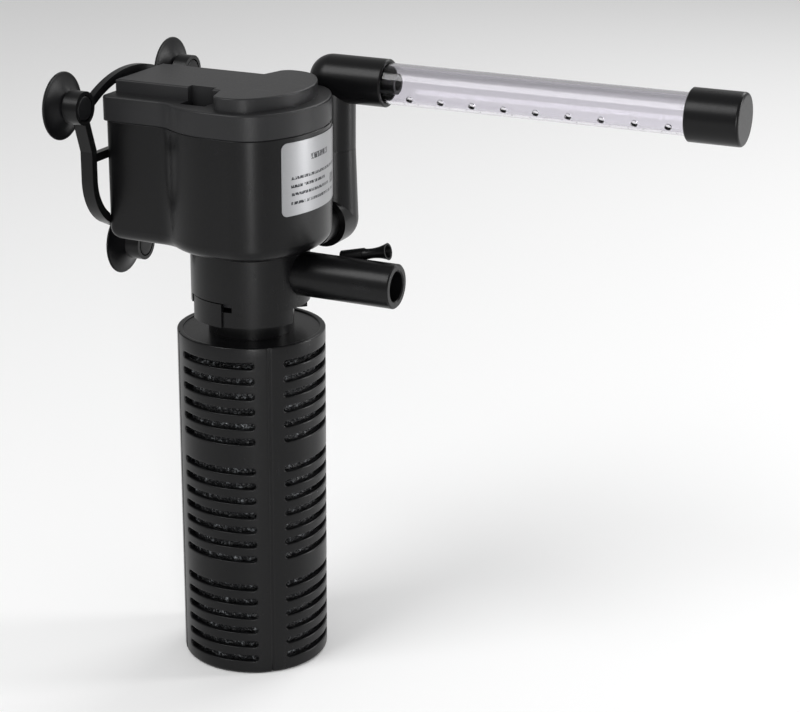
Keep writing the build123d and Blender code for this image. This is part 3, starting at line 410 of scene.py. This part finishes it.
def spray_tube(material):
    """Tube wall with a tile round each jet. A tile is a ring of outlines: the tile's edge, the
    jet's mouth, its bore and the tile's edge inside; the rest is the ring profile carried on."""
    inner_r = TUBE_R - TUBE_WALL
    half_a = JET_TILE / TUBE_R
    turn = (np.arange(JET_SIDES) + 0.5) * tau / JET_SIDES
    unit = np.stack([np.cos(turn), np.sin(turn)], 1)
    square = unit / np.abs(unit).max(1)[:, None]
    rings = [
        (TUBE_R, square, JET_TILE),
        (TUBE_R, unit, JET_R + 2 * JET_LIP_R),
        (TUBE_R, unit, JET_R + JET_LIP_R),
        (TUBE_R - JET_LIP_R, unit, JET_R),
        (inner_r, unit, JET_R),
        (inner_r, square, JET_TILE),
    ]
    tile = np.stack(
        [np.concatenate([u * size, np.full((JET_SIDES, 1), r)], 1) for r, u, size in rings], 1
    )
    tile_a = np.unique(np.round(square[:, 1], 6)) * half_a
    tile_x = np.unique(np.round(square[:, 0], 6)) * JET_TILE
    wide_a = np.linspace(half_a, tau - half_a, TUBE_SIDES + 1)
    jets = JET_FIRST_X + JET_PITCH * np.arange(JET_COUNT)
    strips = [tube_low.x, *(edge for x in jets for edge in (x - JET_TILE, x + JET_TILE)), tube_high.x]
    gaps = [np.linspace(low, high, 4) for low, high in zip(strips[::2], strips[1::2])]

    skins = []
    for x in jets:
        grid = on_tube(x + tile[..., 0], tile[..., 1] / TUBE_R, tile[..., 2])
        skins.append(skin(grid, around=True))
    runs = [(gap, tile_a) for gap in gaps]
    all_x = np.concatenate(gaps + [x + tile_x for x in jets])
    runs.append((np.unique(np.round(all_x, 8)), wide_a))
    for xs, turns in runs:
        for r, flip in ((TUBE_R, 1), (inner_r, -1)):
            x, a = np.meshgrid(xs, turns, indexing="ij")
            skins.append(skin(on_tube(x, a, np.full_like(x, r))[::flip]))
    whole_a = np.concatenate([tile_a[:-1], wide_a[:-1]])
    for x_end, flip in ((tube_low.x, 1), (tube_high.x, -1)):
        r, a = np.meshgrid(np.array([inner_r, TUBE_R]), whole_a, indexing="ij")
        grid = on_tube(np.full_like(a, x_end), a, r)
        skins.append(skin(np.swapaxes(grid, 0, 1)[::flip], around=True))
    return new_piece("clear_tube", skins, material, sharp=40, recalculate=True)


# ---------------------------------------------------------------- suction cups
def suction_cup(name, centre, material):
    """Round moulding about X from a profile of (radius, place along X). The hollow's depth falls
    and the bell's height rises as a power of the share of the radius; the rest is arcs and lines."""
    head_x = CUP_FRONT_X - CUP_HEAD_T
    edge_r = CUP_HEAD_R - CUP_HEAD_EDGE_R
    share = np.linspace(0, 1, 14)
    hollow_x = CUP_RIM_X + CUP_HOLLOW
    hollow = np.stack(
        [share * (CUP_R - CUP_LIP_W), hollow_x - CUP_HOLLOW * share**HOLLOW_POWER], 1
    )
    lip = arc((CUP_R - CUP_LIP_R, CUP_RIM_X + CUP_LIP_R), CUP_LIP_R, -90, 60, 7)
    bell_end = np.array((CUP_STEM_R + CUP_SHOULDER_W, CUP_NECK_X))
    bell = lip[-1] + (bell_end - lip[-1]) * np.stack([share, share**BELL_POWER], 1)[1:]
    stem = [
        (CUP_STEM_R + 0.5 * MM, CUP_NECK_X + 0.05 * MM),
        (CUP_STEM_R, CUP_NECK_X + 0.3 * MM),
        (CUP_STEM_R, head_x),
        (CUP_HEAD_R - 0.2 * MM, head_x),
    ]
    head_low = arc((edge_r, head_x + CUP_HEAD_EDGE_R), CUP_HEAD_EDGE_R, -20, 0, 3)
    head_high = arc((edge_r, CUP_FRONT_X - CUP_HEAD_EDGE_R), CUP_HEAD_EDGE_R, 0, 90, 6)
    end = [(CUP_HEAD_R * 0.5, CUP_FRONT_X), (0, CUP_FRONT_X)]
    profile = np.vstack([hollow, lip, bell, stem, head_low, head_high, end])
    moulding = turned(profile, CUP_SIDES, (0, centre[0], centre[1]), "X")
    return new_piece(name, [moulding], material, sharp=50, recalculate=True)


# ---------------------------------------------------------------- shader groups
def group(name, inputs, outputs):
    """Empty shader node group with float inputs (name, value) and float outputs (name)."""
    tree = bpy.data.node_groups.new(name, "ShaderNodeTree")
    for label, value in inputs:
        socket = tree.interface.new_socket(label, in_out="INPUT", socket_type="NodeSocketFloat")
        socket.default_value = value
    for label in outputs:
        tree.interface.new_socket(label, in_out="OUTPUT", socket_type="NodeSocketFloat")
    return tree, tree.nodes.new("NodeGroupInput"), tree.nodes.new("NodeGroupOutput")


def feed(tree, socket, value):
    """Gives an input its value, or a link where the value is another node's output."""
    if isinstance(value, bpy.types.NodeSocket):
        tree.links.new(value, socket)
    else:
        socket.default_value = value


def chain(tree, kind, **settings):
    """A node with its settings and input values given by name; a socket given is linked."""
    node = tree.nodes.new(kind)
    for key, value in settings.items():
        if hasattr(node, key):
            setattr(node, key, value)
        else:
            feed(tree, node.inputs[key.replace("_", " ")], value)
    return node


def maths(tree, operation, *values):
    """Result of a Math node on the given values or sockets."""
    node = tree.nodes.new("ShaderNodeMath")
    node.operation = operation
    for socket, value in zip(node.inputs, values):
        feed(tree, socket, value)
    return node.outputs[0]


def mapped(tree, value, low, high, to_low=0.0, to_high=1.0):
    """Maps the range from low to high to another, clamped."""
    return chain(
        tree,
        "ShaderNodeMapRange",
        Value=value,
        From_Min=low,
        From_Max=high,
        To_Min=to_low,
        To_Max=to_high,
    ).outputs["Result"]


def noise(tree, vector, scale, detail):
    """Noise value at a place."""
    return chain(
        tree, "ShaderNodeTexNoise", Vector=vector, Scale=scale, Detail=detail
    ).outputs["Fac"]


def stretched(tree, vector, scale, turn=(0.0, 0.0, 0.0)):
    """A place turned and scaled before a pattern reads it."""
    return chain(
        tree, "ShaderNodeMapping", Vector=vector, Rotation=turn, Scale=scale
    ).outputs["Vector"]


def object_place(tree):
    """Object coordinates."""
    return tree.nodes.new("ShaderNodeTexCoord").outputs["Object"]


def mould_texture():
    """Fine spark-eroded skin of a mould: Height for bump and Shade, a slow cloudiness."""
    tree, given, put = group(
        "mould_texture", [("Scale", 900.0), ("Cloud Scale", 24.0)], ["Height", "Shade"]
    )
    place = object_place(tree)
    tree.links.new(noise(tree, place, given.outputs["Scale"], 3.0), put.inputs["Height"])
    tree.links.new(noise(tree, place, given.outputs["Cloud Scale"], 2.0), put.inputs["Shade"])
    return tree


def handling_marks():
    """Faint rub marks: long thin streaks of stretched noise, broken up by a slower noise."""
    tree, given, put = group("handling_marks", [("Scale", 60.0), ("Amount", 0.5)], ["Mask"])
    place = object_place(tree)
    lean = stretched(tree, place, (1.0, 14.0, 1.0), (0.5, 0.3, 0.9))
    thin = mapped(tree, noise(tree, lean, given.outputs["Scale"], 4.0), 0.62, 0.74)
    patch = mapped(tree, noise(tree, place, 35.0, 2.0), 0.5, 0.66)
    both = maths(tree, "MULTIPLY", thin, patch)
    tree.links.new(maths(tree, "MULTIPLY", both, given.outputs["Amount"]), put.inputs["Mask"])
    return tree


MOULD = mould_texture()
MARKS = handling_marks()


def material(name, colour, rough, **uniform):
    """Principled material with plain values set on its own sockets."""
    made = bpy.data.materials.new(name)
    made.use_nodes = True
    shader = made.node_tree.nodes["Principled BSDF"]
    shader.inputs["Base Color"].default_value = (*colour, 1)
    shader.inputs["Roughness"].default_value = rough
    for key, value in uniform.items():
        shader.inputs[key.replace("_", " ")].default_value = value
    return made, made.node_tree, shader


def use(tree, which, **values):
    """Places a shared group in a material with its own values."""
    node = tree.nodes.new("ShaderNodeGroup")
    node.node_tree = which
    for key, value in values.items():
        node.inputs[key.replace("_", " ")].default_value = value
    return node


def blend(tree, factor, low, high):
    """Mixes two colours, or colour sockets, by a value."""
    mix = chain(tree, "ShaderNodeMix", data_type="RGBA")
    tree.links.new(factor, mix.inputs["Factor"])
    for socket, colour in zip((mix.inputs["A"], mix.inputs["B"]), (low, high)):
        feed(tree, socket, colour if isinstance(colour, bpy.types.NodeSocket) else (*colour, 1))
    return mix.outputs["Result"]


def finish_with(tree, shader, colour=None, rough=None, height=None, depth=0.0, strength=1.0):
    """Feeds the shader's colour, roughness and bump."""
    if colour is not None:
        tree.links.new(colour, shader.inputs["Base Color"])
    if rough is not None:
        tree.links.new(rough, shader.inputs["Roughness"])
    bump = chain(tree, "ShaderNodeBump", Height=height, Distance=depth, Strength=strength)
    tree.links.new(bump.outputs["Normal"], shader.inputs["Normal"])


def moulded_plastic(name, dark, light, rough, texture, depth, marks=0.5):
    """Injection-moulded plastic: cloudy shade, fine skin, rub marks that are paler and shinier."""
    made, tree, shader = material(name, dark, rough, Specular_IOR_Level=PLASTIC_SHEEN)
    skin_of = use(tree, MOULD, Scale=texture).outputs
    rubbed = use(tree, MARKS, Amount=marks).outputs["Mask"]
    base = blend(tree, skin_of["Shade"], dark, light)
    worn = blend(tree, rubbed, base, [3 * c for c in light])
    grain = maths(tree, "MULTIPLY_ADD", skin_of["Height"], 0.12, rough - 0.06)
    shine = maths(tree, "MULTIPLY_ADD", rubbed, -0.12, grain)
    finish_with(tree, shader, worn, shine, skin_of["Height"], depth)
    return made


def moulded_rubber(name, colour, rough):
    """Soft rubber: bloom in slow clouds and a very fine skin."""
    made, tree, shader = material(name, colour, rough, Specular_IOR_Level=RUBBER_SHEEN)
    skin_of = use(tree, MOULD, Scale=1400.0, Cloud_Scale=60.0).outputs
    bloom = blend(tree, skin_of["Shade"], colour, [2.2 * c for c in colour])
    shine = mapped(tree, skin_of["Shade"], 0.0, 1.0, rough - 0.08, rough + 0.12)
    finish_with(tree, shader, bloom, shine, skin_of["Height"], 0.01 * MM)
    return made


def clear_plastic():
    """Extruded acrylic: clear, faintly violet, with drawn lines along it and light scuffs."""
    made, tree, shader = material(
        "clear_acrylic",
        (0.84, 0.825, 0.865),
        0.06,
        Transmission_Weight=1.0,
        IOR=1.35,
        Specular_IOR_Level=0.5,
    )
    lines = noise(tree, stretched(tree, object_place(tree), (0.03, 1.0, 1.0)), 900.0, 2.0)
    rubbed = use(tree, MARKS, Amount=0.5).outputs["Mask"]
    shine = maths(tree, "MULTIPLY_ADD", rubbed, 0.2, 0.04)
    finish_with(tree, shader, None, shine, lines, 0.01 * MM, 0.5)
    return made


def foam():
    """Open-cell foam: dark cells and strands, with painted highlights, pale glints that make some
    strands look wet.
    """
    made, tree, shader = material(
        "sponge_foam", (0.02, 0.022, 0.026), 0.5, Specular_IOR_Level=0.6
    )
    place = object_place(tree)
    cells = chain(
        tree, "ShaderNodeTexVoronoi", Vector=place, Scale=620.0, feature="DISTANCE_TO_EDGE"
    )
    strands = mapped(tree, cells.outputs["Distance"], 0.0, 0.22, 1.0, 0.0)
    pale = mapped(tree, noise(tree, place, 420.0, 1.0), 0.55, 0.72)
    # painted highlight: strands inside the pale noise patches are coloured pale grey as glints over
    # the dark foam
    painted_strand_glint = maths(tree, "MULTIPLY", strands, pale)
    colour = blend(tree, painted_strand_glint, (0.006, 0.0065, 0.008), (0.34, 0.36, 0.38))
    finish_with(tree, shader, colour, None, strands, 0.4 * MM)
    return made


def bar(tree, axes, low, high):
    """Mask of one printed bar: inside low to high in both label directions."""
    tests = []
    for axis, a, b in zip(axes, low, high):
        tests += [maths(tree, "GREATER_THAN", axis, a), maths(tree, "LESS_THAN", axis, b)]
    return reduce(lambda one, other: maths(tree, "MULTIPLY", one, other), tests)


def silver_film():
    """Brushed silver film with plain grey bars in place of print. Bars are (low, high) corners in
    shares of the label's half width and half height."""
    made, tree, shader = material("label_film", (0.4, 0.405, 0.42), 0.34, Metallic=0.9)
    uv = chain(tree, "ShaderNodeUVMap", uv_map="print").outputs["UV"]
    axes = chain(tree, "ShaderNodeSeparateXYZ", Vector=uv).outputs
    bars = [((-0.3, 0.42), (0.3, 0.58)), ((0.45, -0.5), (0.72, -0.22))]
    for level, right in ((-0.02, 0.75), (-0.24, 0.2), (-0.46, 0.35), (-0.7, 0.62)):
        bars.append(((-0.8, level), (right, level + 0.08)))
    masks = [bar(tree, (axes["X"], axes["Y"]), low, high) for low, high in bars]
    ink = reduce(lambda one, other: maths(tree, "MAXIMUM", one, other), masks)
    gaps = noise(tree, stretched(tree, uv, (46.0, 7.0, 1.0)), 1.0, 0.0)
    ink = maths(tree, "MULTIPLY", ink, maths(tree, "LESS_THAN", gaps, 0.57))
    streak = noise(tree, stretched(tree, uv, (1.0, 160.0, 1.0)), 3.0, 2.0)
    film = blend(tree, streak, (0.27, 0.272, 0.28), (0.38, 0.383, 0.392))
    printed = blend(tree, ink, film, (0.03, 0.03, 0.034))
    tree.links.new(printed, shader.inputs["Base Color"])
    tree.links.new(mapped(tree, streak, 0.0, 1.0, 0.26, 0.42), shader.inputs["Roughness"])
    return made


def banded(name, colours, rough, metallic, pitch, depth, axis="Z"):
    """Layers or turns: a wave along one axis bumps the surface once every pitch and colours its
    troughs darker, painted shade between the layers or turns.
    """
    made, tree, shader = material(name, colours[0], rough, Metallic=metallic)
    wave = chain(
        tree,
        "ShaderNodeTexWave",
        Vector=object_place(tree),
        bands_direction=axis,
        Scale=tau / 20 / pitch,
        Distortion=0.0,
    ).outputs["Fac"]
    skin_of = use(tree, MOULD, Scale=1200.0).outputs
    shine = mapped(tree, skin_of["Shade"], 0.0, 1.0, rough - 0.08, rough + 0.1)
    # painted shade: the wave's troughs take the darker colour, the crests the lighter one
    finish_with(tree, shader, blend(tree, wave, *colours), shine, wave, depth)
    return made


def speckled(name, dark, light, rough, texture, depth, **uniform):
    """Even solid such as nylon, ferrite, resin or steel: two close shades and a fine grain."""
    made, tree, shader = material(name, dark, rough, **uniform)
    skin_of = use(tree, MOULD, Scale=texture, Cloud_Scale=90.0).outputs
    shine = mapped(tree, skin_of["Height"], 0.0, 1.0, rough - 0.08, rough + 0.08)
    base = blend(tree, skin_of["Shade"], dark, light)
    finish_with(tree, shader, base, shine, skin_of["Height"], depth)
    return made


BLACK = (0.002, 0.002, 0.0022), (0.0035, 0.0035, 0.0039)
LID_BLACK = (0.012, 0.012, 0.0125), (0.02, 0.02, 0.021)
# in STEEL_LAYERS and COPPER_TURNS the first colour is painted shade for the troughs between layers or
# turns
STEEL_LAYERS = (0.2, 0.2, 0.21), (0.46, 0.46, 0.48)
GROUND_STEEL = (0.5, 0.51, 0.53), (0.66, 0.67, 0.69)
NYLON = (0.6, 0.57, 0.47), (0.72, 0.69, 0.6)
COPPER_TURNS = (0.24, 0.07, 0.02), (0.66, 0.27, 0.1)
RESIN = (0.014, 0.012, 0.01), (0.03, 0.026, 0.02)
FERRITE = (0.03, 0.03, 0.033), (0.06, 0.06, 0.065)
ACETAL = (0.62, 0.62, 0.6), (0.74, 0.74, 0.72)
finishes = {
    "black_abs": moulded_plastic("black_abs", *BLACK, 0.3, 1100.0, 0.012 * MM),
    "cover_abs": moulded_plastic("cover_abs", *LID_BLACK, 0.4, 1600.0, 0.02 * MM),
    "cup_rubber": moulded_rubber("cup_rubber", (0.002, 0.002, 0.0023), 0.34),
    "seal_rubber": moulded_rubber("seal_rubber", (0.008, 0.008, 0.009), 0.5),
    "bush_rubber": moulded_rubber("bush_rubber", (0.02, 0.02, 0.022), 0.5),
    "clear_acrylic": clear_plastic(),
    "sponge_foam": foam(),
    "label_film": silver_film(),
    "core_steel": banded("core_steel", STEEL_LAYERS, 0.4, 0.9, 0.5 * MM, 0.05 * MM),
    "winding_copper": banded("winding_copper", COPPER_TURNS, 0.34, 0.8, 0.6 * MM, 0.1 * MM, "Y"),
    "shaft_steel": speckled(
        "shaft_steel", *GROUND_STEEL, 0.22, 2000.0, 0.002 * MM, Metallic=1.0
    ),
    "bobbin_nylon": speckled("bobbin_nylon", *NYLON, 0.5, 800.0, 0.01 * MM),
    "potting_resin": speckled("potting_resin", *RESIN, 0.18, 300.0, 0.01 * MM),
    "magnet_ferrite": speckled("magnet_ferrite", *FERRITE, 0.6, 900.0, 0.03 * MM),
    "impeller_plastic": speckled("impeller_plastic", *ACETAL, 0.34, 700.0, 0.008 * MM),
}

# ---------------------------------------------------------------- dress the frame
slot_of = {part["node"]: part["material_slot"] for part in frame["record"]["subparts"]}
for node, shown in frame["nodes"].items():
    shown.data.materials.clear()
    shown.data.materials.append(finishes[slot_of[node]])


def seat(piece, body, node):
    """The piece rides on a body and stands for a CAD node, which it hides."""
    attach(piece, body)
    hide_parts(node)
    return piece


seat(strainer_canister(finishes["black_abs"]), "strainer", "strainer_canister")
sponge = seat(filter_sponge(finishes["sponge_foam"]), "strainer", "filter_sponge")
seat(rating_label(finishes["label_film"]), "pump", "rating_label")
seat(spray_tube(finishes["clear_acrylic"]), "tube", "spray_tube")
for side in ("left", "right", "low"):
    low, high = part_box(f"suction_cup_{side}")
    middle = ((low.y + high.y) / 2, (low.z + high.z) / 2)
    cup = suction_cup(f"cup_{side}", middle, finishes["cup_rubber"])
    seat(cup, f"cup_{side}", f"suction_cup_{side}")

# ---------------------------------------------------------------- studio
scene = bpy.context.scene


def studio_floor():
    """Pale floor that runs on to the horizon."""
    reach = np.array([-6.0, 6.0])
    x, y = np.meshgrid(reach, reach, indexing="ij")
    made = material("pale_floor", (0.93, 0.93, 0.93), 0.6)[0]
    floor = new_piece("studio_floor", [skin(np.stack([x, y, 0 * x], -1))], made)
    floor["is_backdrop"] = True


def soft_light(name, place, aim, size, power):
    """Area light of a given width and height, aimed at a point."""
    data = bpy.data.lights.new(name, "AREA")
    data.shape, data.energy = "RECTANGLE", power
    data.size, data.size_y = size
    light = bpy.data.objects.new(name, data)
    light.location = place
    light.rotation_euler = (Vector(aim) - Vector(place)).to_track_quat("-Z", "Y").to_euler()
    scene.collection.objects.link(light)


def camera(place, heading, pitch, roll, lens):
    """Camera aimed by heading, pitch and roll in radians."""
    ahead = Vector((cos(heading) * cos(pitch), sin(heading) * cos(pitch), -sin(pitch)))
    level = Vector((sin(heading), -cos(heading), 0))
    lift = level.cross(ahead)
    right = level * cos(roll) + lift * sin(roll)
    up = lift * cos(roll) - level * sin(roll)
    data = bpy.data.cameras.new("camera")
    data.sensor_width = 36.0
    data.lens = lens
    data.clip_start, data.clip_end = 0.01, 50
    seen = bpy.data.objects.new("camera", data)
    turn = Matrix((right, up, -ahead)).transposed()
    seen.matrix_world = Matrix.Translation(place) @ turn.to_4x4()
    scene.collection.objects.link(seen)
    scene.camera = seen


studio_floor()
middle = (0.03, 0, 0.14)
soft_light("key", (-0.5, -0.9, 1.3), middle, (0.8, 0.8), 12)
soft_light("strip", (0.78, -1.25, 0.2), middle, (0.16, 0.8), 11)
soft_light("rim", (1.2, 0.75, 0.4), middle, (0.25, 0.9), 9)
soft_light("back", (0.3, 1.3, 1.2), middle, (0.9, 0.9), 8)
world = bpy.data.worlds.new("studio")
scene.world = world
world.use_nodes = True
sky = world.node_tree.nodes["Background"]
sky.inputs["Color"].default_value = (1, 1, 1, 1)
sky.inputs["Strength"].default_value = 0.45
scene.view_settings.view_transform = "Standard"
camera((0.3998, -0.7169, 0.4107), radians(114.94), radians(18.98), radians(0.43), 95.72)

low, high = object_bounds()
